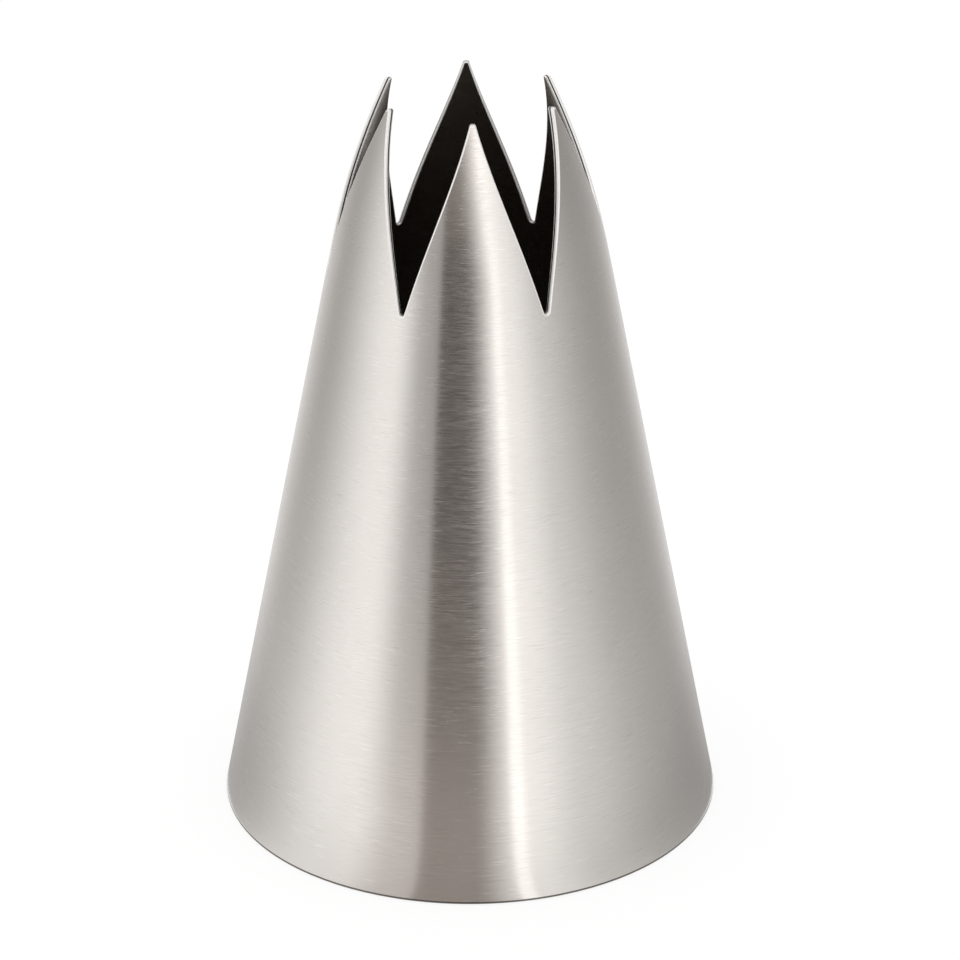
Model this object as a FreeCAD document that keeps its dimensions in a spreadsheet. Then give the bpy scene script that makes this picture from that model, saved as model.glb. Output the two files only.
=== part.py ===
import FreeCAD, Part
import math
import os

import Sketcher

# Open-star piping nozzle: one cone of sheet steel, six teeth cut into its mouth and bent inwards.
# Millimetres. The foot stands on the XY plane, the axis is Z and one tooth faces -Y.

SIZES = [
    ("base_diameter", 25.0, "outside of the foot"),
    ("mouth_diameter", 9.1, "outside, across the tips of opposite teeth"),
    ("nozzle_height", 37.4, "foot to tips"),
    ("sheet", 0.3, "thickness of the sheet"),
    ("tip_inset", 0.6, "how far the bend takes the tips inside the straight cone"),
    ("bend_length", 7.2, "height of the bent part, down from the tips"),
    ("tooth_count", 6, "teeth around the mouth"),
    ("tooth_length", 9.5, "height of a tooth, from notch root to tip, before rounding"),
    ("tip_width", 0.26, "width of a tooth at its tip, before rounding"),
    ("side_bow", 0.35, "how far a tooth side stands out from a straight V at half height"),
    ("tip_round", 0.12, "rounding of the tips, seen from outside"),
    ("root_round", 0.14, "rounding of the notch roots, seen from outside"),
    ("edge_round", 0.08, "rounding along the cut edges of the sheet"),
    ("cutter_margin", 1.5, "how far the notch cutter reaches above the tips and outside the roots"),
]
SHARP_ANGLE = math.radians(30)
SAME_PLACE = 1e-4

doc = FreeCAD.newDocument("PipingNozzle")

table = doc.addObject("Spreadsheet::Sheet", "Sizes")
for row, (alias, number, meaning) in enumerate(SIZES, start=1):
    table.set("A%d" % row, alias)
    table.set("B%d" % row, str(number))
    table.set("C%d" % row, meaning)
    table.setAlias("B%d" % row, alias)
doc.recompute()

body = doc.addObject("PartDesign::Body", "NozzleShell")
body.Label = "nozzle_shell"


def origin_feature(role):
    return next(item for item in body.Origin.OriginFeatures if item.Role == role)


def new_sketch(name, plane_role):
    sketch = body.newObject("Sketcher::SketchObject", name)
    sketch.AttachmentSupport = [(origin_feature(plane_role), "")]
    sketch.MapMode = "FlatFace"
    return sketch


def at(across, up):
    return FreeCAD.Vector(across, up, 0)


def dimension(sketch, name, expression, *constraint):
    """Add a dimension to a sketch and bind it to the sizes."""
    index = sketch.addConstraint(Sketcher.Constraint(*constraint))
    sketch.renameConstraint(index, name)
    sketch.setExpression("Constraints." + name, expression)


def fix_point(sketch, name, geometry, end, across, up):
    """Dimension both coordinates of a point from the sketch's origin."""
    drawn = sketch.getPoint(geometry, end)
    dimension(sketch, name + "_across", across, "DistanceX", -1, 1, geometry, end, drawn.x)
    dimension(sketch, name + "_up", up, "DistanceY", -1, 1, geometry, end, drawn.y)


def arc_ends(sketch, arc, first):
    """The end numbers of an arc, the end at the given point first."""
    near = min((1, 2), key=lambda end: (sketch.getPoint(arc, end) - first).Length)
    return near, 3 - near


def solved(expression):
    """The present value of an expression in the sizes."""
    result = table.evalExpression(expression)
    return float(getattr(result, "Value", result))


# The wall's profile: a straight cone, then an arc tangent to it that brings the tips in.
FOOT = "(Sizes.base_diameter / 2)"
MOUTH = "(Sizes.mouth_diameter / 2)"
TIP_HEIGHT = "Sizes.nozzle_height"
SLOPE = "((%s - %s - Sizes.tip_inset) / Sizes.nozzle_height)" % (FOOT, MOUTH)
SHOULDER_HEIGHT = "(Sizes.nozzle_height - Sizes.bend_length)"
SHOULDER = "(%s - %s * %s)" % (FOOT, SLOPE, SHOULDER_HEIGHT)
BEND_MIDDLE_HEIGHT = "(Sizes.nozzle_height - Sizes.bend_length / 2)"
BEND_MIDDLE = "(%s - %s * %s - Sizes.tip_inset / 4)" % (FOOT, SLOPE, BEND_MIDDLE_HEIGHT)
TIP_ANGLE = "(180 / Sizes.tooth_count - Sizes.tip_width / Sizes.mouth_diameter * 180 / pi)"
SEAM_ANGLE = "(%s / 2)" % TIP_ANGLE

foot = at(solved(FOOT), 0)
shoulder = at(solved(SHOULDER), solved(SHOULDER_HEIGHT))
bend_middle = at(solved(BEND_MIDDLE), solved(BEND_MIDDLE_HEIGHT))
tip = at(solved(MOUTH), solved(TIP_HEIGHT))
inwards = at(-solved("Sizes.sheet"), 0)

# The profile's plane is turned so that the line where the turned faces close misses roots and tips.
wall = new_sketch("WallProfile", "XZ_Plane")
wall.AttachmentOffset = FreeCAD.Placement(FreeCAD.Vector(), FreeCAD.Rotation(at(0, 1), 1))
wall.setExpression("AttachmentOffset.Rotation.Angle", SEAM_ANGLE)
outer_line = wall.addGeometry(Part.LineSegment(foot, shoulder))
outer_arc = wall.addGeometry(Part.Arc(shoulder, bend_middle, tip))
tip_line = wall.addGeometry(Part.LineSegment(tip, tip + inwards))
inner_arc = wall.addGeometry(Part.Arc(tip + inwards, bend_middle + inwards, shoulder + inwards))
inner_line = wall.addGeometry(Part.LineSegment(shoulder + inwards, foot + inwards))
foot_line = wall.addGeometry(Part.LineSegment(foot + inwards, foot))

outer_low, outer_high = arc_ends(wall, outer_arc, shoulder)
inner_high, inner_low = arc_ends(wall, inner_arc, tip + inwards)
wall.addConstraint([
    Sketcher.Constraint("Tangent", outer_line, 2, outer_arc, outer_low),
    Sketcher.Constraint("Coincident", outer_arc, outer_high, tip_line, 1),
    Sketcher.Constraint("Coincident", tip_line, 2, inner_arc, inner_high),
    Sketcher.Constraint("Tangent", inner_arc, inner_low, inner_line, 1),
    Sketcher.Constraint("Coincident", inner_line, 2, foot_line, 1),
    Sketcher.Constraint("Coincident", foot_line, 2, outer_line, 1),
    Sketcher.Constraint("Horizontal", tip_line),
    Sketcher.Constraint("Horizontal", foot_line),
    Sketcher.Constraint("Coincident", outer_arc, 3, inner_arc, 3),
    Sketcher.Constraint("Parallel", outer_line, inner_line),
    Sketcher.Constraint("PointOnObject", outer_line, 1, -1),
])
dimension(wall, "foot", FOOT, "DistanceX", -1, 1, outer_line, 1, foot.x)
fix_point(wall, "shoulder", outer_line, 2, SHOULDER, SHOULDER_HEIGHT)
fix_point(wall, "tip", tip_line, 1, MOUTH, TIP_HEIGHT)
dimension(wall, "sheet", "Sizes.sheet", "Distance", outer_line, 2, inner_line, 1, inwards.Length)
doc.recompute()

cone = body.newObject("PartDesign::Revolution", "Cone")
cone.Profile = wall
cone.ReferenceAxis = (wall, ["V_Axis"])
cone.Angle = 360
doc.recompute()

# A notch at +X. Its two outlines grow with their distance from the axis, so its sides cut radially.
ROOT_HEIGHT = "(Sizes.nozzle_height - Sizes.tooth_length)"
HALF_HEIGHT = "(Sizes.nozzle_height - Sizes.tooth_length / 2)"
TOP_HEIGHT = "(Sizes.nozzle_height + Sizes.cutter_margin)"
HALF_RADIUS = "(%s - %s * %s)" % (FOOT, SLOPE, HALF_HEIGHT)
TIP_SPREAD = "tan(%s)" % TIP_ANGLE
HALF_SPREAD = "(%s / 2 - Sizes.side_bow / %s)" % (TIP_SPREAD, HALF_RADIUS)
# The outlines stand close inside the tips and close outside the roots, so the widths hold between them.
INNER_PLANE = "((%s - 2 * Sizes.sheet) * cos(%s))" % (MOUTH, TIP_ANGLE)
OUTER_PLANE = "(%s - %s * %s + Sizes.cutter_margin)" % (FOOT, SLOPE, ROOT_HEIGHT)


def notch_outline(name, plane):
    """A V with bowed sides, on an upright plane at the given distance from the axis."""
    outline = new_sketch(name, "YZ_Plane")
    outline.setExpression("AttachmentOffset.Base.z", plane)
    tip_across = "%s * %s" % (plane, TIP_SPREAD)
    half_across = "%s * %s" % (plane, HALF_SPREAD)
    root = at(0, solved(ROOT_HEIGHT))
    sides = []
    for side in (1, -1):
        half_point = at(side * solved(half_across), solved(HALF_HEIGHT))
        tip_point = at(side * solved(tip_across), solved(TIP_HEIGHT))
        sides.append(outline.addGeometry(Part.Arc(root, half_point, tip_point)))
    right, left = sides
    right_low, right_high = arc_ends(outline, right, root)
    left_low, left_high = arc_ends(outline, left, root)
    top = outline.addGeometry(Part.LineSegment(
        outline.getPoint(left, left_high), outline.getPoint(right, right_high)))
    half_mark = outline.addGeometry(Part.Point(at(solved(half_across), solved(HALF_HEIGHT))), True)
    tip_mark = outline.addGeometry(Part.Point(at(solved(tip_across), solved(TIP_HEIGHT))), True)
    outline.addConstraint([
        Sketcher.Constraint("Coincident", right, right_low, left, left_low),
        Sketcher.Constraint("PointOnObject", right, right_low, -2),
        Sketcher.Constraint("Coincident", top, 1, left, left_high),
        Sketcher.Constraint("Coincident", top, 2, right, right_high),
        Sketcher.Constraint("Symmetric", top, 1, top, 2, -2),
        Sketcher.Constraint("Equal", left, right),
        Sketcher.Constraint("PointOnObject", half_mark, 1, right),
        Sketcher.Constraint("PointOnObject", tip_mark, 1, right),
    ])
    dimension(outline, "root_up", ROOT_HEIGHT, "DistanceY", -1, 1, right, right_low, root.y)
    fix_point(outline, "half", half_mark, 1, half_across, HALF_HEIGHT)
    fix_point(outline, "tip", tip_mark, 1, tip_across, TIP_HEIGHT)
    dimension(outline, "top_up", TOP_HEIGHT, "DistanceY", -1, 1, top, 2, solved(TIP_HEIGHT))
    doc.recompute()
    return outline


notch = body.newObject("PartDesign::SubtractiveLoft", "Notch")
notch.Profile = notch_outline("NotchInside", INNER_PLANE)
notch.Sections = [notch_outline("NotchOutside", OUTER_PLANE)]
notch.Ruled = True
doc.recompute()

notches = body.newObject("PartDesign::PolarPattern", "Notches")
notches.Originals = [notch]
notches.Axis = (origin_feature("Z_Axis"), [""])
notches.Angle = 360
notches.setExpression("Occurrences", "Sizes.tooth_count")
body.Tip = notches
doc.recompute()


# Roundings: tips and roots as seen from outside, then every edge of the sheet.
def radial_edges(shape, height):
    """Edges that cross the sheet at the given height."""
    found = []
    for number, edge in enumerate(shape.Edges, start=1):
        ends = [vertex.Point for vertex in edge.Vertexes]
        level = all(abs(point.z - height) < SAME_PLACE for point in ends)
        reach = [math.hypot(point.x, point.y) for point in ends]
        if level and max(reach) - min(reach) > solved("Sizes.sheet") / 2:
            found.append("Edge%d" % number)
    return found


def sharp_edges(shape):
    """Edges where the two faces meet at a clear angle."""
    found = []
    for number, edge in enumerate(shape.Edges, start=1):
        middle = edge.valueAt((edge.FirstParameter + edge.LastParameter) / 2)
        faces = shape.ancestorsOfType(edge, Part.Face)
        if len(faces) != 2:
            continue
        normals = [face.normalAt(*face.Surface.parameter(middle)) for face in faces]
        if normals[0].getAngle(normals[1]) > SHARP_ANGLE:
            found.append("Edge%d" % number)
    return found


def round_edges(name, base, edges, radius):
    rounding = body.newObject("PartDesign::Fillet", name)
    rounding.Base = (base, edges)
    rounding.setExpression("Radius", radius)
    doc.recompute()
    return rounding


TIP_ROUND = "min(Sizes.tip_round; 0.5 * Sizes.tip_width)"
ROOT_ROUND = "Sizes.root_round"
EDGE_ROUND = "min(Sizes.edge_round; 0.3 * Sizes.sheet)"

tips = round_edges("TipRounding", notches, radial_edges(notches.Shape, solved(TIP_HEIGHT)), TIP_ROUND)
roots = round_edges("RootRounding", tips, radial_edges(tips.Shape, solved(ROOT_HEIGHT)), ROOT_ROUND)
edges = round_edges("EdgeRounding", roots, sharp_edges(roots.Shape), EDGE_ROUND)

for item in doc.Objects:
    if "Invalid" in item.State or "Error" in item.State:
        raise RuntimeError("%s: %s" % (item.Label, item.State))
if body.Shape.isNull() or not body.Shape.isValid() or len(body.Shape.Solids) != 1:
    raise RuntimeError("%s has no sound solid" % body.Label)

os.makedirs("parts", exist_ok=True)
body.Shape.exportStep("parts/%s.step" % body.Label)
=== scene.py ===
"""Steel piping nozzle with a six-pointed star mouth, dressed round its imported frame.

Metres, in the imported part's own frame: the foot stands on z = 0, the axis is Z and one tooth faces -Y.
"""

import math

import bpy
import numpy as np
from bpy.props import FloatProperty, FloatVectorProperty, IntProperty, PointerProperty
from mathutils import Euler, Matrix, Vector


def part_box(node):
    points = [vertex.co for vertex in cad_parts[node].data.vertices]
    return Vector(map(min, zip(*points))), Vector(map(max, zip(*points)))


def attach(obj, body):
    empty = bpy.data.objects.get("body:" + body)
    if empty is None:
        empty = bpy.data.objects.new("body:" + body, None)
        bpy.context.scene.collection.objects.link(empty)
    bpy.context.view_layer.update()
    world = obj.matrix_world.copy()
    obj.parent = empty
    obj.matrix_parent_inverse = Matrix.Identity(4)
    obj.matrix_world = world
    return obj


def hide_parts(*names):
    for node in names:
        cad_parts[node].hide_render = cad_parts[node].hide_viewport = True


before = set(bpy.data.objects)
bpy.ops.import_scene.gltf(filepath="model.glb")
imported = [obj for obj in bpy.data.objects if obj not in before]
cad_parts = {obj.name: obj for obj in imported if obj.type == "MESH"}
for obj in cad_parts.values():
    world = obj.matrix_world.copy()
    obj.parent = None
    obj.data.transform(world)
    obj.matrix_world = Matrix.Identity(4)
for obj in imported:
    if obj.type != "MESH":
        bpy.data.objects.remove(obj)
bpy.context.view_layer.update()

NODE = "nozzle_shell"
BODY = "root"
NODE_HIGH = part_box(NODE)[1]
NOZZLE_HEIGHT = NODE_HIGH.z
FOOT_REACH = NODE_HIGH.x
MM = 0.001
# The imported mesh's chords lie this far inside the round shape
CAD_FIT = 0.004 * MM

bl_info = {
    "name": "Piping nozzle",
    "version": (1, 0, 0),
    "blender": (4, 5, 0),
    "location": "3D View > Sidebar > Nozzle",
    "description": "Builds a steel piping nozzle with a star mouth, and a plain studio round it",
    "category": "Object",
}


# Properties that a user would change

def length(name, description, default):
    return FloatProperty(
        name=name, description=description, default=default, min=0.0, unit="LENGTH", precision=5
    )


def angle(name, description, degrees):
    return FloatProperty(
        name=name, description=description, default=math.radians(degrees), subtype="ANGLE"
    )


def number(name, description, default):
    return FloatProperty(name=name, description=description, default=default, min=0.0)


def colour(name, description, default):
    return FloatVectorProperty(
        name=name, description=description, default=default, subtype="COLOR", min=0.0, max=1.0
    )


class NozzleSizes(bpy.types.PropertyGroup):
    """Sizes of the drawn sheet and of the teeth cut into it"""

    foot_diameter: length("Foot diameter", "Outside of the foot", 25 * MM)
    mouth_diameter: length("Mouth diameter", "Outside, across the tips of opposite teeth", 9.1 * MM)
    height: length("Height", "Foot to tips", NOZZLE_HEIGHT)
    sheet: length("Sheet", "Thickness of the sheet", 0.3 * MM)
    tip_inset: length("Tip inset", "How far the bend takes the tips inside the cone", 0.6 * MM)
    bend_length: length("Bend length", "Height of the bent part, down from the tips", 7.2 * MM)
    tooth_count: IntProperty(name="Teeth", description="Teeth round the mouth", default=6, min=3)
    tooth_length: length("Tooth length", "Sharp notch root to tip", 9.5 * MM)
    tip_width: length("Tip width", "Width of a tooth at its tip before rounding", 0.26 * MM)
    side_bow: length("Side bow", "How far a tooth side stands out from a straight V", 0.35 * MM)
    tip_round: length("Tip rounding", "Radius of a tip's corners, seen from outside", 0.12 * MM)
    root_round: length("Root rounding", "Radius of a notch root, seen from outside", 0.14 * MM)
    edge_round: length("Edge rounding", "Radius along the cut edges of the sheet", 0.08 * MM)


class NozzleFinish(bpy.types.PropertyGroup):
    """Colours and brushing of the steel, some of them with painted light and shade"""

    steel: colour("Steel", "Colour of the brushed outside", (0.76, 0.73, 0.695))
    # Painted shade: the inside is far darker and browner than the outside steel, standing in for the shade
    # deep in the bore
    inside: colour("Inside", "Colour of the dull inside", (0.24, 0.205, 0.17))
    # Partly painted highlight: the polished edge's colour is near white, so with the edge's low metallic it
    # shows bright from every side
    cut_edge_and_highlight: colour("Cut edge", "Colour of the polished cut edges", (0.95, 0.93, 0.90))
    # Painted contact shadow: a dark colour for the edge that the nozzle stands on, and for a thin line just
    # above it
    foot_contact_shadow: colour("Foot edge", "Colour of the bare edge that it stands on", (0.16, 0.145, 0.13))
    line_width: length("Line width", "Width of a brush line", 0.05 * MM)
    line_turn: angle("Line turn", "How far round the cone a brush line runs", 3.0)


class NozzleStudio(bpy.types.PropertyGroup):
    """Camera and light"""

    camera_reach: length("Camera reach", "Level distance from the axis to the camera", 190 * MM)
    camera_height: length("Camera height", "Height of the camera above the floor", 107.06 * MM)
    camera_turn: angle("Camera turn", "Turn of the camera round the axis, from the front tooth", -2.0)
    camera_pitch: angle("Camera pitch", "How far the camera looks down", 25.37)
    camera_aim: angle("Camera aim", "How far the camera looks to the right of the axis", 0.153)
    lens: FloatProperty(
        name="Lens", description="Focal length on a 36 mm sensor, in millimetres", default=158.84
    )
    panel_level: number("Panel level", "Brightness of all the panels together", 1.0)


# The sheet's geometry

# How many faces each stretch of the sheet is divided into
ROOT_STEPS = 6
SIDE_STEPS = 30
CORNER_STEPS = 6
FLAT_STEPS = 11
WALL_STEPS = 34
ROUND_STEPS = 4
LAND_STEPS = 2
# The step that slopes are measured over, as a share of the tooth length
SLOPE_STEP = 1e-4
# Faces from a root up to the middle of a tip's corner
SIDE_ROWS = ROOT_STEPS + SIDE_STEPS + CORNER_STEPS // 2


class Sheet:
    """Shapes of the drawn cone and of its teeth, worked out from the sizes."""

    def __init__(self, sizes):
        self.s = sizes
        self.foot = sizes.foot_diameter / 2
        self.mouth = sizes.mouth_diameter / 2
        self.slope = (self.foot - self.mouth - sizes.tip_inset) / sizes.height
        self.shoulder = sizes.height - sizes.bend_length
        self.sharp_root = sizes.height - sizes.tooth_length
        self.half_pitch = math.pi / sizes.tooth_count
        half_height = sizes.height - sizes.tooth_length / 2
        self.tip_spread = math.tan(self.half_pitch - sizes.tip_width / sizes.mouth_diameter)
        self.bow = 4 * sizes.side_bow / (self.foot - self.slope * half_height)

    def bend(self, z):
        """Share of the bent part that lies below a height."""
        return np.clip((z - self.shoulder) / self.s.bend_length, 0, None)

    def radius(self, z):
        return self.foot - CAD_FIT - self.slope * z - self.s.tip_inset * self.bend(z) ** 2

    def lean(self, z):
        """How far the wall leans in at a height, as an angle."""
        return np.arctan(self.slope + 2 * self.s.tip_inset * self.bend(z) / self.s.bend_length)

    def place(self, turn, z, depth):
        """Points of the sheet: turn round the axis, height, and depth under the outside."""
        r = self.radius(z) - depth / np.cos(self.lean(z))
        return np.stack([r * np.cos(turn), r * np.sin(turn), z + 0 * turn], axis=-1)

    def normal(self, turn, z):
        """Outward normals of the outside."""
        lean = self.lean(z) + 0 * turn
        flat = np.cos(lean)
        return np.stack([flat * np.cos(turn), flat * np.sin(turn), np.sin(lean)], axis=-1)

    def notch_width(self, z):
        """Half the width of the sharp notch along the wall, at a height."""
        t = (z - self.sharp_root) / self.s.tooth_length
        return self.radius(z) * np.arctan((self.tip_spread - self.bow) * t + self.bow * t * t)

    def tooth_width(self, z):
        return self.radius(z) * self.half_pitch - self.notch_width(z)

    def outline(self, inset):
        """Half a tooth's outline from root to tip, moved inwards: turns from its middle, and heights."""
        step = self.s.tooth_length * SLOPE_STEP
        round_root, round_tip = self.s.root_round, self.s.tip_round

        root_flare = math.atan(self.notch_width(self.sharp_root + step) / step)
        root_centre = self.sharp_root + round_root / math.sin(root_flare)
        root_turn = np.linspace(0, math.pi / 2 - root_flare, ROOT_STEPS + 1)
        root_across = (round_root + inset) * np.sin(root_turn)
        root_z = root_centre - (round_root + inset) * np.cos(root_turn)

        tip_centre = self.s.height - round_tip
        below = self.tooth_width(np.array([tip_centre - step, tip_centre]))
        tip_flare = math.atan((below[0] - below[1]) / step)
        tip_across = below[1] - round_tip / math.cos(tip_flare)
        corner_turn = np.linspace(tip_flare, math.pi / 2, CORNER_STEPS + 1)
        corner_across = tip_across + (round_tip - inset) * np.cos(corner_turn)
        corner_z = tip_centre + (round_tip - inset) * np.sin(corner_turn)
        flat_across = np.linspace(tip_across, 0, FLAT_STEPS + 1)[1:]
        flat_z = np.full(FLAT_STEPS, self.s.height - inset)

        side_low = root_centre - round_root * math.sin(root_flare)
        side_high = tip_centre + round_tip * math.sin(tip_flare)
        side_z = np.linspace(side_low, side_high, SIDE_STEPS + 1)[1:-1]
        flare = np.arctan((self.notch_width(side_z + step) - self.notch_width(side_z)) / step)
        side_across = self.notch_width(side_z) + inset * np.cos(flare)
        side_z = side_z - inset * np.sin(flare)

        notch_across = np.concatenate([root_across, side_across])
        notch_z = np.concatenate([root_z, side_z])
        tooth_across = np.concatenate([corner_across, flat_across])
        tooth_z = np.concatenate([corner_z, flat_z])
        turns = np.concatenate([
            self.half_pitch - notch_across / self.radius(notch_z),
            tooth_across / self.radius(tooth_z),
        ])
        return turns, np.concatenate([notch_z, tooth_z])

    def section(self):
        """The rounded cut edge from outside to inside: inset, depth and turn of the normal."""
        edge, sheet = self.s.edge_round, self.s.sheet
        quarter = np.linspace(0, math.pi / 2, ROUND_STEPS + 1)
        land = np.linspace(edge, sheet - edge, LAND_STEPS + 1)[1:-1]
        inset = np.concatenate([edge * (1 - np.sin(quarter)), 0 * land, edge * (1 - np.cos(quarter))])
        depth = np.concatenate([
            edge * (1 - np.cos(quarter)), land, sheet - edge * (1 - np.sin(quarter))
        ])
        tilt = np.concatenate([quarter, 0 * land + math.pi / 2, math.pi / 2 + quarter])
        return inset, depth, tilt


# Mesh code

OUTSIDE, INSIDE, EDGE, FOOT = range(4)
# Attribute of the points: their place through the sheet, 0 outside and 1 inside
DEPTH = "depth"
# Bands of the map, from low to high, and its empty margin
UV_OUTSIDE = (0.53, 0.99)
UV_FOOT = (0.49, 0.515)
UV_TEETH = (0.45, 0.475)
UV_INSIDE = (0.01, 0.435)
UV_SIDE_MARGIN = 0.005


class Patches:
    """Collects points, normals and quads, patch by patch."""

    def __init__(self):
        self.points, self.normals, self.depths = [], [], []
        self.quads, self.uvs, self.materials = [], [], []
        self.count = 0

    def add(self, points, normals, depth):
        """Adds an array of points, all at one depth, and gives back the array of their numbers."""
        shape = points.shape[:-1]
        self.points.append(points.reshape(-1, 3))
        self.normals.append(normals.reshape(-1, 3))
        self.depths.append(np.full(math.prod(shape), depth))
        numbers = np.arange(self.count, self.count + math.prod(shape)).reshape(shape)
        self.count += math.prod(shape)
        return numbers

    def quilt(self, numbers, u, v, band, material, flip=False):
        """Joins a grid of point numbers with quads. u and v run from 0 to 1 over the band of the map."""
        u = UV_SIDE_MARGIN + u * (1 - 2 * UV_SIDE_MARGIN)
        v = band[0] + v * (band[1] - band[0])
        uv = np.stack(np.broadcast_arrays(u, v), axis=-1)
        corners = [(slice(None, -1), slice(None, -1)), (slice(None, -1), slice(1, None)),
                   (slice(1, None), slice(1, None)), (slice(1, None), slice(None, -1))]
        if flip:
            corners.reverse()
        quads = np.stack([numbers[c] for c in corners], axis=-1).reshape(-1, 4)
        self.quads.append(quads)
        self.uvs.append(np.stack([uv[c] for c in corners], axis=2).reshape(-1, 2))
        self.materials.append(np.full(len(quads), material))

    def mesh(self, name):
        made = bpy.data.meshes.new(name)
        points = np.concatenate(self.points)
        made.from_pydata(points.tolist(), [], np.concatenate(self.quads).tolist())
        made.polygons.foreach_set("material_index", np.concatenate(self.materials).astype(np.int32))
        layer = made.uv_layers.new(name="OFBake")
        layer.uv.foreach_set("vector", np.concatenate(self.uvs).astype(np.float32).ravel())
        depth = made.attributes.new(DEPTH, "FLOAT", "POINT")
        depth.data.foreach_set("value", np.concatenate(self.depths).astype(np.float32))
        made.shade_smooth()
        made.normals_split_custom_set_from_vertices(np.concatenate(self.normals).tolist())
        made.validate()
        return made


def unit(vectors):
    return vectors / np.linalg.norm(vectors, axis=-1, keepdims=True)


def closed(grid):
    """A grid that runs round the axis, with its first column repeated at the end."""
    return np.concatenate([grid, grid[:, :1]], axis=1)


def shell_mesh(sizes):
    """The whole sheet as one closed mesh of quads: outside, inside and rounded cut edges."""
    sheet = Sheet(sizes)
    patches = Patches()
    teeth = sizes.tooth_count
    pitch = 2 * sheet.half_pitch
    middles = -math.pi / 2 + pitch * np.arange(teeth)
    edge = sizes.edge_round
    turns, heights = sheet.outline(edge)
    top_turns = turns[SIDE_ROWS:]
    top_heights = heights[SIDE_ROWS:]
    share = top_turns[::-1] / top_turns[0]
    share = np.concatenate([-share[:0:-1], share])
    columns = len(share) - 1
    inset, depth, tilt = sheet.section()

    ring_turn = (middles[:, None] + sheet.half_pitch * share[None, :-1]).reshape(-1)
    wall_z = np.linspace(edge, heights[0], WALL_STEPS + 1)
    rows_z = np.repeat(heights[1:SIDE_ROWS + 1, None], columns + 1, axis=1)
    rows_z[-1] = np.concatenate([top_heights, top_heights[-2::-1]])
    rows_turn = middles[:, None, None] + turns[None, 1:SIDE_ROWS + 1, None] * share[None, None, :]
    first_turn = middles[0] - sheet.half_pitch

    faces = {}
    for side, side_depth, sign, band in (
        (OUTSIDE, 0.0, 1, UV_OUTSIDE), (INSIDE, sizes.sheet, -1, UV_INSIDE)
    ):
        ring = patches.add(
            sheet.place(ring_turn[None, :], wall_z[:, None], side_depth),
            sign * sheet.normal(ring_turn[None, :], wall_z[:, None]),
            side_depth / sizes.sheet,
        )
        rows = patches.add(
            sheet.place(rows_turn, rows_z[None], side_depth),
            sign * sheet.normal(rows_turn, rows_z[None]),
            side_depth / sizes.sheet,
        )
        faces[side] = ring, rows
        round_turn = np.append(ring_turn, first_turn + 2 * math.pi)
        patches.quilt(
            closed(ring), (round_turn[None, :] - first_turn) / (2 * math.pi),
            wall_z[:, None] / sizes.height, band, side, flip=sign < 0,
        )
        for tooth in range(teeth):
            start = tooth * columns
            root = closed(ring[-1:])[:, start:start + columns + 1]
            grid = np.concatenate([root, rows[tooth]])
            root_turn = middles[tooth] + sheet.half_pitch * share[None, :]
            turn = np.concatenate([root_turn, rows_turn[tooth]])
            z = np.concatenate([np.full((1, columns + 1), heights[0]), rows_z])
            patches.quilt(grid, (turn - first_turn) / (2 * math.pi), z / sizes.height, band, side,
                          flip=sign < 0)

    def around_teeth(ring, rows):
        """Numbers of a side's edge, round all the teeth: root, up, over the tip and down."""
        loops = []
        for tooth in range(teeth):
            root = ring[-1, tooth * columns]
            loops += [root, *rows[tooth, :, 0], *rows[tooth, -1, 1:-1], *rows[tooth, ::-1, -1]]
        return np.array(loops)

    def tooth_loop(amount):
        """Turns and heights of the same loop, for an outline moved inwards."""
        half_turn, half_z = sheet.outline(amount)
        one_turn = np.concatenate([-half_turn, half_turn[-2:0:-1]])
        one_z = np.concatenate([half_z, half_z[-2:0:-1]])
        return (middles[:, None] + one_turn[None, :]).reshape(-1), np.tile(one_z, teeth)

    def foot_loop(amount):
        return ring_turn, np.full(len(ring_turn), amount)

    def rim(loop, outer, inner, band, material, flip):
        """The rounded cut edge between the outer and the inner loop of numbers."""
        sharp, moved = sheet.place(*loop(0.0), 0.0), sheet.place(*loop(edge), 0.0)
        outward = unit(sharp - moved)
        strips = [outer]
        for amount, deep, turned in list(zip(inset, depth, tilt))[1:-1]:
            turn, z = loop(amount)
            normal = math.cos(turned) * sheet.normal(turn, z) + math.sin(turned) * outward
            strips.append(patches.add(sheet.place(turn, z, deep), unit(normal), deep / sizes.sheet))
        grid = closed(np.stack([*strips, inner]))
        along = np.linspace(0, 1, grid.shape[1])[None, :]
        across = np.linspace(0, 1, grid.shape[0])[:, None]
        patches.quilt(grid, along, across, band, material, flip)

    rim(tooth_loop, around_teeth(*faces[OUTSIDE]), around_teeth(*faces[INSIDE]), UV_TEETH, EDGE, False)
    rim(foot_loop, faces[OUTSIDE][0][0], faces[INSIDE][0][0], UV_FOOT, FOOT, True)
    return patches.mesh(NODE)


# Shader code

def add_node(tree, kind, inputs=None, **settings):
    """Adds a node, sets its own settings, then sets or links its inputs."""
    made = tree.nodes.new(kind)
    for name, value in settings.items():
        setattr(made, name, value)
    for name, value in (inputs or {}).items():
        socket = made.inputs[name]
        if isinstance(value, bpy.types.NodeSocket):
            tree.links.new(value, socket)
        else:
            socket.default_value = value
    return made


def math_node(tree, operation, first, second=0.0):
    return add_node(tree, "ShaderNodeMath", {0: first, 1: second}, operation=operation).outputs[0]


def map_range(tree, value, low, high, to_low, to_high, kind="LINEAR"):
    inputs = {"Value": value, "From Min": low, "From Max": high, "To Min": to_low, "To Max": to_high}
    return add_node(tree, "ShaderNodeMapRange", inputs, interpolation_type=kind).outputs["Result"]


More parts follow.
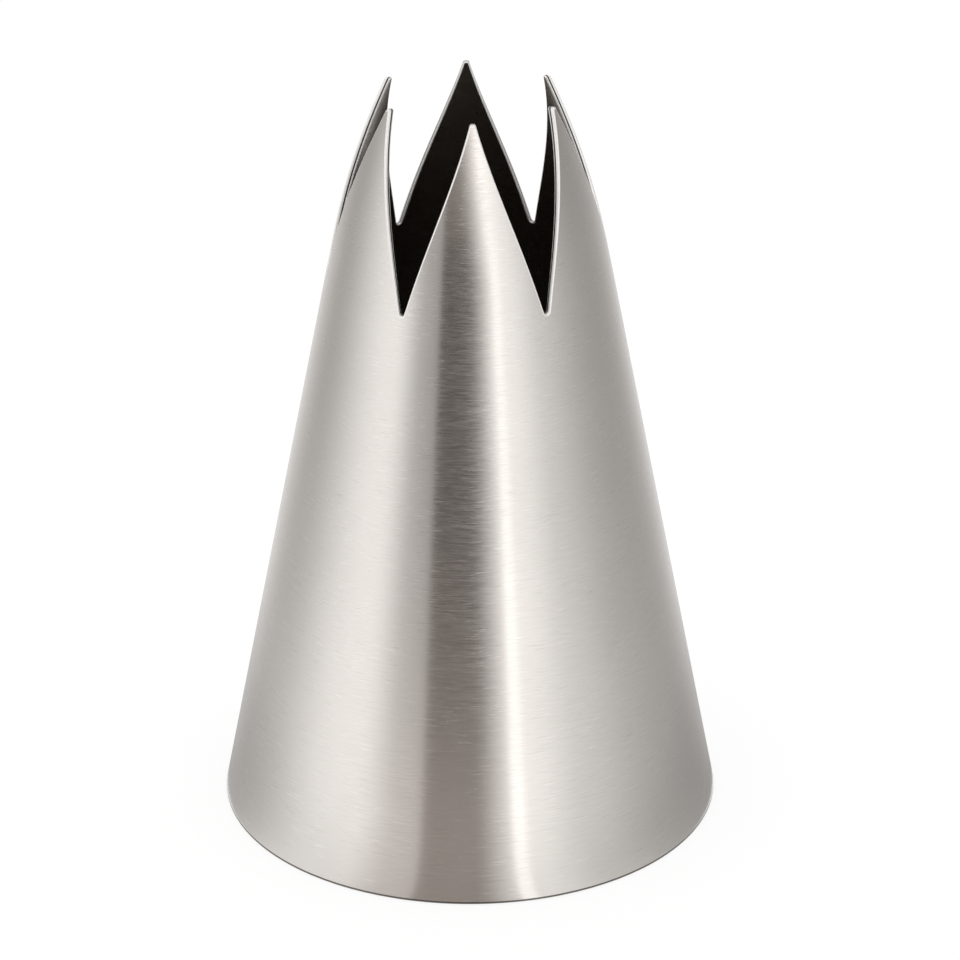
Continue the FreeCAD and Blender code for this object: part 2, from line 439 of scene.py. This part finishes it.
def mix_colour(tree, share, first, second):
    made = add_node(tree, "ShaderNodeMix", data_type="RGBA")
    for socket, value in ((made.inputs[0], share), (made.inputs[6], first), (made.inputs[7], second)):
        if isinstance(value, bpy.types.NodeSocket):
            tree.links.new(value, socket)
        else:
            socket.default_value = value
    return made.outputs[2]


def rgba(shade, level=1.0):
    return (*(min(1.0, level * part) for part in shade), 1.0)


# Noise levels between which a stroke sets in, and how uneven the lines are
PEAKS = (0.65, 0.71)
DIPS = (0.34, 0.28)
LINE_ROUGHNESS = 0.6


def brushing_group():
    """Brush lines that run round the axis: fine grain, and single light and dark strokes in patches."""
    name = "Turned brushing"
    if name in bpy.data.node_groups:
        return bpy.data.node_groups[name]
    group = bpy.data.node_groups.new(name, "ShaderNodeTree")
    for socket, default in (("Lines per metre", 10000.0), ("Lines per radian", 12.0)):
        made = group.interface.new_socket(socket, in_out="INPUT", socket_type="NodeSocketFloat")
        made.default_value = default
    for socket in ("Grain", "Light strokes", "Dark strokes", "Cloud"):
        group.interface.new_socket(socket, in_out="OUTPUT", socket_type="NodeSocketFloat")
    given = add_node(group, "NodeGroupInput").outputs
    place = add_node(group, "ShaderNodeTexCoord").outputs["Object"]
    apart = add_node(group, "ShaderNodeSeparateXYZ", {0: place}).outputs
    flat = add_node(group, "ShaderNodeCombineXYZ", {"X": apart["X"], "Y": apart["Y"]}).outputs[0]
    round_way = add_node(group, "ShaderNodeVectorMath", {0: flat}, operation="NORMALIZE").outputs[0]
    sideways = add_node(group, "ShaderNodeSeparateXYZ", {0: round_way}).outputs["X"]

    def lines(fineness, shortness, slant, detail):
        """Noise drawn out round the axis, as a share of the group's own lines."""
        turns = math_node(group, "MULTIPLY", given["Lines per radian"], shortness)
        up = math_node(group, "MULTIPLY", given["Lines per metre"], fineness)
        level = math_node(group, "MULTIPLY", apart["Z"], up)
        level = math_node(group, "ADD", level, math_node(group, "MULTIPLY", sideways, slant))
        drawn = add_node(
            group, "ShaderNodeVectorMath", {0: round_way, "Scale": turns}, operation="SCALE"
        ).outputs[0]
        lift = add_node(group, "ShaderNodeCombineXYZ", {"Z": level}).outputs[0]
        vector = add_node(group, "ShaderNodeVectorMath", {0: drawn, 1: lift}, operation="ADD").outputs[0]
        noise = {"Vector": vector, "Scale": 1.0, "Detail": detail, "Roughness": LINE_ROUGHNESS}
        return add_node(group, "ShaderNodeTexNoise", noise).outputs[0]

    def patch(size, low, high):
        """A soft mask of spots, with their size in metres."""
        spots = add_node(group, "ShaderNodeTexNoise", {"Vector": place, "Scale": 1 / size, "Detail": 2.0})
        return map_range(group, spots.outputs[0], low, high, 0.0, 1.0, "SMOOTHSTEP")

    def strokes(noise, where):
        """Separate strokes at the noise's peaks and dips, in some places only."""
        peaks = map_range(group, noise, *PEAKS, 0.0, 1.0, "SMOOTHSTEP")
        dips = map_range(group, noise, *DIPS, 0.0, 1.0, "SMOOTHSTEP")
        return [math_node(group, "MULTIPLY", part, where) for part in (peaks, dips)]

    grain = lines(fineness=1.0, shortness=0.6, slant=0.0, detail=2.0)
    level_lines = lines(fineness=1.0, shortness=0.45, slant=0.0, detail=1.0)
    slanted_lines = lines(fineness=0.9, shortness=0.6, slant=-11.0, detail=1.0)
    level = strokes(level_lines, patch(size=1.6 * MM, low=0.38, high=0.54))
    slanted = strokes(slanted_lines, patch(size=2.4 * MM, low=0.45, high=0.60))
    light, dark = (math_node(group, "MAXIMUM", *pair) for pair in zip(level, slanted))
    cloud = patch(size=6 * MM, low=0.35, high=0.65)
    add_node(group, "NodeGroupOutput", {
        "Grain": grain, "Light strokes": light, "Dark strokes": dark, "Cloud": cloud,
    })
    return group


# Grain levels that count as the valleys and the ridges of the brushing
GRAIN_LEVELS = (0.3, 0.7)
# Clouds, light strokes and dark strokes, as shares of the steel's own colour
CLOUD_SHADE = 0.9
LIGHT_SHADE = 1.3
DARK_SHADE = 0.7
# How far a dark stroke reaches below the grain
STROKE_HEIGHT = -0.6
# The turn that draws reflections out across the brush lines, as a share of a full turn
GLINT_TURN = 0.25
# The dark line along the cut edges, a painted dark reflection: its place through the sheet, how far from
# there it is fully dark and how far it reaches, and its shade as a share of the edge's own colour
LINE_DEPTH = 0.61
LINE_SIDES = (0.10, 0.17)
LINE_SHADE = 0.05
# The share of the painted foot shadow line's height that is fully dark
FOOT_SHADOW_CORE = 0.8


def steel_material(name, finish, shade, look):
    """Steel with turned brushing. look holds this surface's own values."""
    material = bpy.data.materials.new(name)
    material.use_nodes = True
    tree = material.node_tree
    tree.nodes.clear()
    brushing = add_node(tree, "ShaderNodeGroup", {
        "Lines per metre": look["fineness"] / finish.line_width,
        "Lines per radian": 1.0 / finish.line_turn,
    }, node_tree=brushing_group())
    grain, cloud = brushing.outputs["Grain"], brushing.outputs["Cloud"]
    light, dark = brushing.outputs["Light strokes"], brushing.outputs["Dark strokes"]
    brushed = map_range(tree, grain, *GRAIN_LEVELS, 0.0, 1.0)
    tone = mix_colour(tree, brushed, rgba(shade, 1 - look["contrast"]), rgba(shade, 1 + look["contrast"]))
    for mask, amount, level in (
        (cloud, look["stain"], CLOUD_SHADE),
        (light, look["scratch"], LIGHT_SHADE),
        (dark, look["scratch"], DARK_SHADE),
    ):
        tone = mix_colour(tree, math_node(tree, "MULTIPLY", mask, amount), tone, rgba(shade, level))
    # Painted reflection: a dark line along the middle of a cut edge
    if look["line"]:
        depth = add_node(tree, "ShaderNodeAttribute", attribute_name=DEPTH).outputs["Fac"]
        off_line = math_node(tree, "ABSOLUTE", math_node(tree, "SUBTRACT", depth, LINE_DEPTH))
        line = map_range(tree, off_line, *LINE_SIDES, look["line"], 0.0, "SMOOTHSTEP")
        tone = mix_colour(tree, line, tone, rgba(shade, LINE_SHADE))
    # Painted contact shadow: a thin dark line along the bottom of the outside
    if look["foot_line"]:
        place = add_node(tree, "ShaderNodeTexCoord").outputs["Object"]
        up = add_node(tree, "ShaderNodeSeparateXYZ", {0: place}).outputs["Z"]
        core = FOOT_SHADOW_CORE * look["foot_line"]
        line = map_range(tree, up, core, look["foot_line"], 1.0, 0.0, "SMOOTHSTEP")
        tone = mix_colour(tree, line, tone, rgba(finish.foot_contact_shadow))
    rough_low, rough_high = look["roughness"] - look["spread"], look["roughness"] + look["spread"]
    roughness = map_range(tree, grain, *GRAIN_LEVELS, rough_high, rough_low)
    roughness = math_node(tree, "ADD", roughness, math_node(tree, "MULTIPLY", light, look["scatter"]))
    height = math_node(tree, "ADD", grain, math_node(tree, "MULTIPLY", dark, STROKE_HEIGHT))
    bump = add_node(
        tree, "ShaderNodeBump", {"Height": height, "Strength": look["bump"], "Distance": look["groove"]}
    ).outputs[0]
    round_way = add_node(tree, "ShaderNodeTangent", direction_type="RADIAL", axis="Z").outputs[0]
    steel = add_node(tree, "ShaderNodeBsdfPrincipled", {
        "Base Color": tone, "Roughness": roughness, "Normal": bump, "Tangent": round_way,
        "Metallic": look["metallic"], "Anisotropic": look["anisotropy"],
        "Anisotropic Rotation": GLINT_TURN,
    })
    add_node(tree, "ShaderNodeOutputMaterial", {"Surface": steel.outputs[0]})
    return material


# The surfaces' own values. fineness: brush lines in one line width. contrast, stain and scratch: how much
# the grain, the clouds and the strokes show in the colour. line: how much the painted dark reflection along a
# cut edge shows. foot_line: height of the painted contact shadow line at the foot. spread and scatter:
# how much the grain and the light strokes change the roughness. bump and groove: strength and depth of the
# relief.
OUTSIDE_LOOK = {
    "fineness": 1.0, "contrast": 0.02, "stain": 0.25, "scratch": 0.30, "line": 0.0,
    "foot_line": 0.14 * MM, "metallic": 1.0, "roughness": 0.21, "spread": 0.045, "scatter": 0.04,
    "bump": 0.08, "groove": 0.002 * MM, "anisotropy": 0.8,
}
INSIDE_LOOK = {
    "fineness": 0.6, "contrast": 0.15, "stain": 0.6, "scratch": 0.3, "line": 0.0,
    "foot_line": 0.0, "metallic": 1.0, "roughness": 0.31, "spread": 0.04, "scatter": 0.1,
    "bump": 0.2, "groove": 0.003 * MM, "anisotropy": 0.4,
}
# Cut edges: low metallic lets their near-white colour show bright in any light, a painted highlight over the
# polish
EDGE_LOOK = {
    "fineness": 1.5, "contrast": 0.04, "stain": 0.1, "scratch": 0.2, "line": 1.0,
    "foot_line": 0.0, "metallic": 0.35, "roughness": 0.22, "spread": 0.03, "scatter": 0.0,
    "bump": 0.05, "groove": 0.002 * MM, "anisotropy": 0.0,
}
# The bottom edge of the foot, coloured all over with the painted contact shadow
FOOT_LOOK = {
    "fineness": 1.0, "contrast": 0.15, "stain": 0.4, "scratch": 0.4, "line": 0.0,
    "foot_line": 0.0, "metallic": 1.0, "roughness": 0.45, "spread": 0.05, "scatter": 0.0,
    "bump": 0.2, "groove": 0.002 * MM, "anisotropy": 0.0,
}


# The studio

FLOOR_SIZE = 3.0
# The floor's own light outside and inside the foot, and the share of the foot's radius where it changes
FLOOR_GLOW = 0.80
INNER_GLOW = 0.03
GLOW_EDGE = 0.94
FLOOR_SHADE = 0.22
FLOOR_DROP = 0.02 * MM
WORLD_LEVEL = 1.0
# The bowl that carries the panels: reach and height of its rings, from the foot outwards and up
BOWL_PROFILE = (
    (12.6 * MM, 0.05 * MM), (60 * MM, 0.4 * MM), (250 * MM, 0.4 * MM), (340 * MM, 30 * MM),
    (390 * MM, 110 * MM), (400 * MM, 260 * MM), (400 * MM, 900 * MM),
)
BOWL_SEGMENTS = 128
# Panels round the bowl, by zone and by shade. Each begins, is full from one turn to another, and ends:
# degrees to the right of the camera. Then its brightness, where white is 1.
WALL, LEANING, OVERHEAD, FLOOR = "wall", "leaning wall", "overhead", "floor"
WHITE = (1.0, 1.0, 1.0)
WARM = (1.0, 0.89, 0.84)
PANELS = {
    "left softbox": (WALL, WHITE, (-132, -62, -58, -36), 0.46),
    "left screen": (WALL, WHITE, (-132, -62, -25, -21), 0.27),
    "left wall": (LEANING, WHITE, (-132, -62, -48, -16), 0.25),
    "right wall": (LEANING, WHITE, (2, 24, 30, 140), 0.82),
    "key glow": (LEANING, WHITE, (17, 23, 30, 58), 0.25),
    "key strip": (LEANING, WHITE, (19, 21.5, 25, 28), 0.36),
    "back wall": (WALL, WHITE, (72, 178, 194, 288), 0.59),
    "overhead screen": (OVERHEAD, WARM, (-60, -40, 12, 30), 0.20),
    "front floor": (FLOOR, WARM, (-70, -26, -10, 40), 0.35),
    "left floor": (FLOOR, WHITE, (-160, -115, -85, -50), 0.15),
    "right floor": (FLOOR, WHITE, (30, 80, 95, 150), 0.10),
    "back floor": (FLOOR, WHITE, (120, 170, 190, 230), 0.22),
}
# Warm light from everywhere round the bowl
ROOM_LEVEL = 0.08
# How much further a ray has turned than the place it reaches, where that is one foot radius away
FURTHER_TURN = 0.65
# How far the leaning panels turn to the left for each degree of rise
PANEL_LEAN = 0.7
# The heights between which overhead panels set in, and the reach over which floor panels fade out
OVERHEAD_RISE = (40 * MM, 130 * MM)
FLOOR_FADE = (15 * MM, 150 * MM)
# The share of its light that the bowl keeps right beside the foot, and the reach over which it becomes all
NEAR_LEVEL = 0.80
NEAR_REACH = (16 * MM, 34 * MM)
SENSOR_WIDTH = 36.0
CLIP_START = 10 * MM


def new_object(name, data):
    made = bpy.data.objects.new(name, data)
    bpy.context.scene.collection.objects.link(made)
    return made


def make_world():
    world = bpy.data.worlds.new("studio")
    world.use_nodes = True
    background = world.node_tree.nodes["Background"].inputs
    background["Color"].default_value = rgba(WHITE)
    background["Strength"].default_value = WORLD_LEVEL
    world.cycles.sampling_method = "NONE"
    bpy.context.scene.world = world


def make_floor():
    """A pale floor that takes the nozzle's shadow."""
    half = FLOOR_SIZE / 2
    mesh = bpy.data.meshes.new("floor")
    corners = [(x, y, -FLOOR_DROP) for x, y in ((-half, -half), (half, -half), (half, half), (-half, half))]
    mesh.from_pydata(corners, [], [(0, 1, 2, 3)])
    material = bpy.data.materials.new("pale_floor")
    material.use_nodes = True
    tree = material.node_tree
    tree.nodes.clear()
    place = add_node(tree, "ShaderNodeTexCoord").outputs["Object"]
    reach = add_node(tree, "ShaderNodeVectorMath", {0: place}, operation="LENGTH").outputs["Value"]
    begin = GLOW_EDGE * FOOT_REACH
    level = map_range(tree, reach, begin, FOOT_REACH, INNER_GLOW, FLOOR_GLOW, "SMOOTHSTEP")
    glow = add_node(tree, "ShaderNodeEmission", {"Strength": level})
    matt = add_node(tree, "ShaderNodeBsdfDiffuse", {"Color": rgba((FLOOR_SHADE,) * 3)})
    both = add_node(tree, "ShaderNodeAddShader", {0: glow.outputs[0], 1: matt.outputs[0]})
    # From below the floor is clear, so that the foot can be looked at
    below = add_node(tree, "ShaderNodeNewGeometry").outputs["Backfacing"]
    clear = add_node(tree, "ShaderNodeBsdfTransparent")
    seen = add_node(tree, "ShaderNodeMixShader", {0: below, 1: both.outputs[0], 2: clear.outputs[0]})
    add_node(tree, "ShaderNodeOutputMaterial", {"Surface": seen.outputs[0]})
    mesh.materials.append(material)
    new_object("floor", mesh)


def panel_material(studio):
    """Light of the panels, by the turn and the height of each place on the bowl."""
    material = bpy.data.materials.new("light_panels")
    material.use_nodes = True
    tree = material.node_tree
    tree.nodes.clear()
    place = add_node(tree, "ShaderNodeTexCoord").outputs["Object"]
    apart = add_node(tree, "ShaderNodeSeparateXYZ", {0: place}).outputs
    ahead = math_node(tree, "MULTIPLY", apart["Y"], -1.0)
    turn = math_node(tree, "ARCTAN2", apart["X"], ahead)
    turn = math_node(tree, "SUBTRACT", turn, studio.camera_turn)
    # A ray that the wall throws to a place near by has turned further than that place
    reach = add_node(tree, "ShaderNodeVectorMath", {0: place}, operation="LENGTH").outputs["Value"]
    nearness = math_node(tree, "DIVIDE", FURTHER_TURN * FOOT_REACH, reach)
    further = math_node(tree, "MULTIPLY", math_node(tree, "SINE", turn), nearness)
    turn = math_node(tree, "ADD", turn, further)
    rise = math_node(tree, "ARCSINE", math_node(tree, "DIVIDE", apart["Z"], reach))
    leaned = math_node(tree, "ADD", turn, math_node(tree, "MULTIPLY", rise, PANEL_LEAN))

    def panel(way, begin, full, fading, end, brightness):
        """Light of one panel along a way round the bowl, with soft sides."""
        around = math_node(tree, "SUBTRACT", way, (full + fading) / 2)
        around = add_node(
            tree, "ShaderNodeMath", {0: around, 1: math.pi, 2: -math.pi}, operation="WRAP"
        ).outputs[0]
        half = (fading - full) / 2
        coming = map_range(tree, around, -half - (full - begin), -half, 0.0, 1.0, "SMOOTHSTEP")
        going = map_range(tree, around, half, half + (end - fading), brightness, 0.0, "SMOOTHSTEP")
        return math_node(tree, "MULTIPLY", coming, going)

    zones = {
        WALL: 1.0,
        LEANING: 1.0,
        OVERHEAD: map_range(tree, apart["Z"], *OVERHEAD_RISE, 0.0, 1.0, "SMOOTHSTEP"),
        FLOOR: map_range(tree, reach, *FLOOR_FADE, 1.0, 0.0, "SMOOTHSTEP"),
    }
    levels = {WHITE: 0.0, WARM: ROOM_LEVEL}
    for zone, shade, edges, brightness in PANELS.values():
        way = leaned if zone == LEANING else turn
        lit = panel(way, *map(math.radians, edges), brightness * studio.panel_level)
        lit = math_node(tree, "MULTIPLY", lit, zones[zone])
        levels[shade] = math_node(tree, "ADD", lit, levels[shade])
    near = map_range(tree, reach, *NEAR_REACH, NEAR_LEVEL, 1.0, "SMOOTHSTEP")
    white, warm = (
        add_node(tree, "ShaderNodeEmission", {
            "Color": rgba(shade), "Strength": math_node(tree, "MULTIPLY", level, near),
        }).outputs[0]
        for shade, level in levels.items()
    )
    glow = add_node(tree, "ShaderNodeAddShader", {0: white, 1: warm})
    add_node(tree, "ShaderNodeOutputMaterial", {"Surface": glow.outputs[0]})
    material.cycles.emission_sampling = "NONE"
    return material


def make_bowl(studio):
    """Light and dark panels round the nozzle, which only its reflections show."""
    turns = np.linspace(0, 2 * math.pi, BOWL_SEGMENTS, endpoint=False)
    points = [(r * math.cos(t), r * math.sin(t), z) for r, z in BOWL_PROFILE for t in turns]
    quads = []
    for row in range(len(BOWL_PROFILE) - 1):
        for column in range(BOWL_SEGMENTS):
            after = (column + 1) % BOWL_SEGMENTS
            low, high = row * BOWL_SEGMENTS, (row + 1) * BOWL_SEGMENTS
            quads.append((low + column, high + column, high + after, low + after))
    mesh = bpy.data.meshes.new("light_panels")
    mesh.from_pydata(points, [], quads)
    mesh.materials.append(panel_material(studio))
    bowl = new_object("light_panels", mesh)
    bowl.visible_camera = False
    bowl.visible_diffuse = False
    bowl.visible_transmission = False
    bowl.visible_shadow = False


def make_camera(studio):
    data = bpy.data.cameras.new("camera")
    data.sensor_width = SENSOR_WIDTH
    data.lens = studio.lens
    data.clip_start = CLIP_START
    camera = new_object("camera", data)
    reach, turn = studio.camera_reach, studio.camera_turn
    camera.location = Vector((reach * math.sin(turn), -reach * math.cos(turn), studio.camera_height))
    camera.rotation_euler = Euler((math.pi / 2 - studio.camera_pitch, 0.0, turn - studio.camera_aim))
    bpy.context.scene.camera = camera


# Operators, panel and registration

class NOZZLE_OT_shell(bpy.types.Operator):
    """Build the nozzle's sheet: brushed outside, dull inside with painted shade, polished edges with painted
    highlight and dark reflection, and a painted contact shadow at the foot
    """

    bl_idname = "nozzle.shell"
    bl_label = "Build the nozzle"

    def execute(self, context):
        finish = context.scene.nozzle_finish
        mesh = shell_mesh(context.scene.nozzle_sizes)
        mesh.materials.append(steel_material("brushed_outside", finish, finish.steel, OUTSIDE_LOOK))
        mesh.materials.append(steel_material("inside_dull_painted_shade", finish, finish.inside, INSIDE_LOOK))
        mesh.materials.append(steel_material("polished_and_painted_edge", finish, finish.cut_edge_and_highlight, EDGE_LOOK))
        mesh.materials.append(steel_material("foot_rim_painted_shadow", finish, finish.foot_contact_shadow, FOOT_LOOK))
        shell = new_object("steel_shell", mesh)
        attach(shell, BODY)
        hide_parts(NODE)
        return {"FINISHED"}


class NOZZLE_OT_stage(bpy.types.Operator):
    """Build the floor, the light and the camera"""

    bl_idname = "nozzle.stage"
    bl_label = "Build the studio"

    def execute(self, context):
        studio = context.scene.nozzle_studio
        make_world()
        make_floor()
        make_bowl(studio)
        make_camera(studio)
        context.scene.view_settings.view_transform = "Standard"
        return {"FINISHED"}


class NOZZLE_PT_panel(bpy.types.Panel):
    """Sizes, finish and studio of the nozzle"""

    bl_label = "Piping nozzle"
    bl_space_type = "VIEW_3D"
    bl_region_type = "UI"
    bl_category = "Nozzle"

    def draw(self, context):
        scene = context.scene
        for group in (scene.nozzle_sizes, scene.nozzle_finish, scene.nozzle_studio):
            box = self.layout.box()
            for name in group.__annotations__:
                box.prop(group, name)
        for operator in (NOZZLE_OT_shell, NOZZLE_OT_stage):
            self.layout.operator(operator.bl_idname)


CLASSES = (
    NozzleSizes, NozzleFinish, NozzleStudio, NOZZLE_OT_shell, NOZZLE_OT_stage, NOZZLE_PT_panel,
)
GROUPS = {
    "nozzle_sizes": NozzleSizes, "nozzle_finish": NozzleFinish, "nozzle_studio": NozzleStudio,
}


def register():
    for made in CLASSES:
        bpy.utils.register_class(made)
    for name, group in GROUPS.items():
        setattr(bpy.types.Scene, name, PointerProperty(type=group))


def unregister():
    for name in GROUPS:
        delattr(bpy.types.Scene, name)
    for made in reversed(CLASSES):
        bpy.utils.unregister_class(made)


def main():
    register()
    bpy.ops.nozzle.shell()
    bpy.ops.nozzle.stage()


if __name__ == "__main__":
    main()
